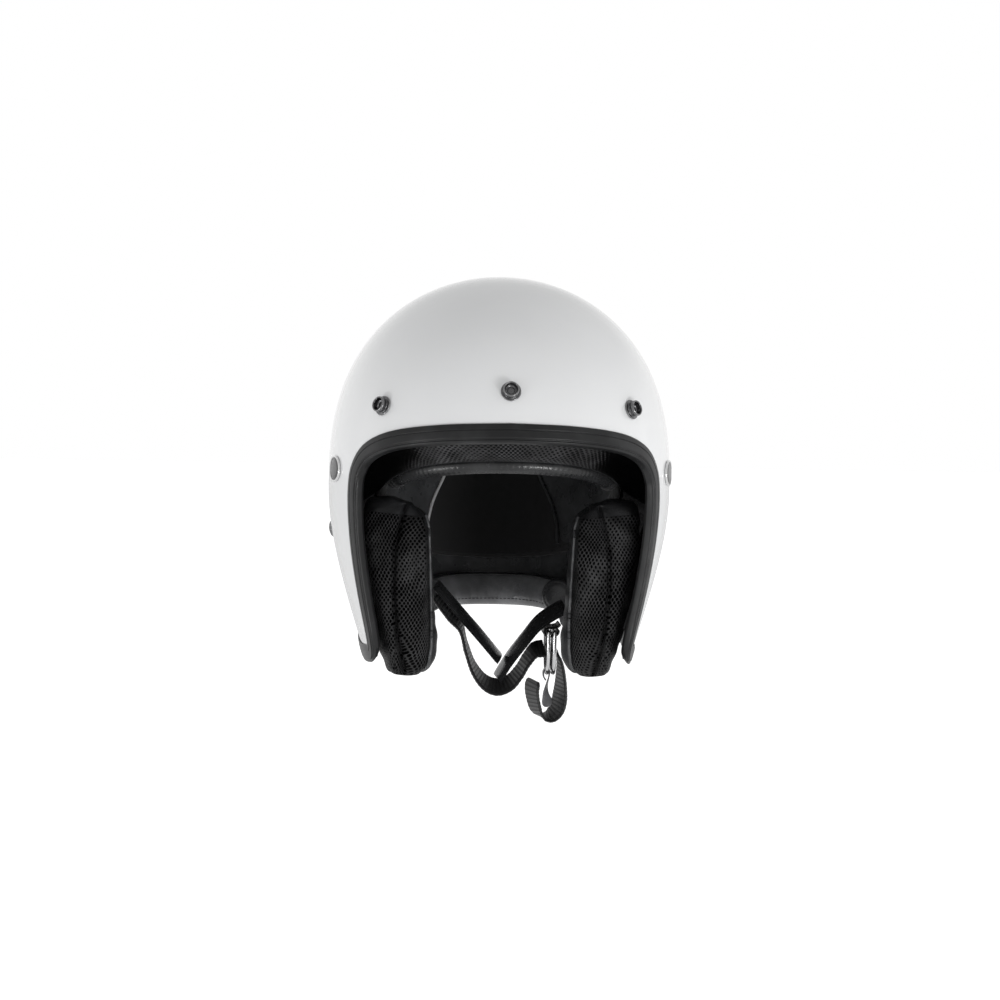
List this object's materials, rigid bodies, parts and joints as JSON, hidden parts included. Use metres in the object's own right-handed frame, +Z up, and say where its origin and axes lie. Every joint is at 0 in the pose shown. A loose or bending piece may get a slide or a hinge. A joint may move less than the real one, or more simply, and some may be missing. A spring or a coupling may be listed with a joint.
{
  "type": "open face motorcycle helmet",
  "caption": "Open face motorcycle helmet: white shell with rubber edge trim, foam liner, mesh and vinyl lining, visor studs and a chin strap with D-rings.",
  "frame": {"origin": "centre of the headform inside the helmet, on the middle plane and level with the widest section of the shell", "axes": "+X towards the wearer's left ear, -Y out of the face opening, +Z up through the crown"},
  "size_m": [0.2434, 0.2799, 0.3202],
  "materials": {
    "shell_paint": "white gelcoat under clear lacquer, high gloss",
    "trim_rubber": "black extruded edge rubber, satin",
    "eps_foam": "black expanded polystyrene, fine bead grain",
    "mesh_fabric": "black three-layer spacer mesh",
    "vinyl": "black grained lining vinyl, satin",
    "webbing": "black ribbed nylon webbing",
    "dark_steel": "gunmetal plated, bright worn rims",
    "bright_steel": "bright nickel plated steel",
    "black_plastic": "black moulded nylon",
    "badge_plastic": "silver-grey lacquered plate, plain"
  },
  "bodies": {
    "root": {"outer_shell": "shell_paint", "edge_trim": "trim_rubber", "eps_liner": "eps_foam", "comfort_liner": "mesh_fabric", "brow_pad": "mesh_fabric", "brow_roll": "vinyl", "neck_roll": "vinyl", "cheek_pad_left": "mesh_fabric", "cheek_plate_left": "black_plastic", "cheek_eps_left": "eps_foam", "ear_pad_left": "vinyl", "strap_rivet_left": "dark_steel", "anchor_plate_left": "bright_steel", "side_badge_left": "badge_plastic", "upper_strap_left": "webbing", "cheek_pad_right": "mesh_fabric", "cheek_plate_right": "black_plastic", "cheek_eps_right": "eps_foam", "ear_pad_right": "vinyl", "strap_rivet_right": "dark_steel", "anchor_plate_right": "bright_steel", "side_badge_right": "badge_plastic", "upper_strap_right": "webbing", "visor_stud_center": "dark_steel", "stud_washer_center": "bright_steel", "visor_stud_left": "dark_steel", "stud_washer_left": "bright_steel", "visor_stud_right": "dark_steel", "stud_washer_right": "bright_steel"},
    "chin_strap": {"chin_sleeve_left": "vinyl", "chin_sleeve_right": "vinyl", "chin_webbing": "webbing", "ring_hanger": "webbing"},
    "d_ring_inner": {"d_ring_inner": "bright_steel"},
    "d_ring_outer": {"d_ring_outer": "bright_steel"},
    "strap_tail": {"strap_tail": "webbing", "tail_stud": "dark_steel"},
    "pull_tab": {"pull_tab": "vinyl"}
  },
  "joints": [
    {"name": "chin_strap_swing", "type": "hinge", "parent": "root", "child": "chin_strap", "pos_m": [0, 0.003, -0.074], "axis": [1, 0, 0], "range_deg": [0, 35]},
    {"name": "d_ring_inner_swing", "type": "hinge", "parent": "chin_strap", "child": "d_ring_inner", "pos_m": [0.0372, 0.003, -0.104], "axis": [0, 1, 0], "range_deg": [0, 3]},
    {"name": "d_ring_outer_swing", "type": "hinge", "parent": "chin_strap", "child": "d_ring_outer", "pos_m": [0.0416, 0.003, -0.104], "axis": [0, 1, 0], "range_deg": [-3, 0]},
    {"name": "strap_tail_swing", "type": "hinge", "parent": "chin_strap", "child": "strap_tail", "pos_m": [0.0366, 0.003, -0.1172], "axis": [0, 1, 0], "range_deg": [-2, 2]},
    {"name": "pull_tab_swing", "type": "hinge", "parent": "d_ring_inner", "child": "pull_tab", "pos_m": [0.0372, 0.003, -0.135], "axis": [0, 1, 0], "range_deg": [-3, 3]}
  ]
}
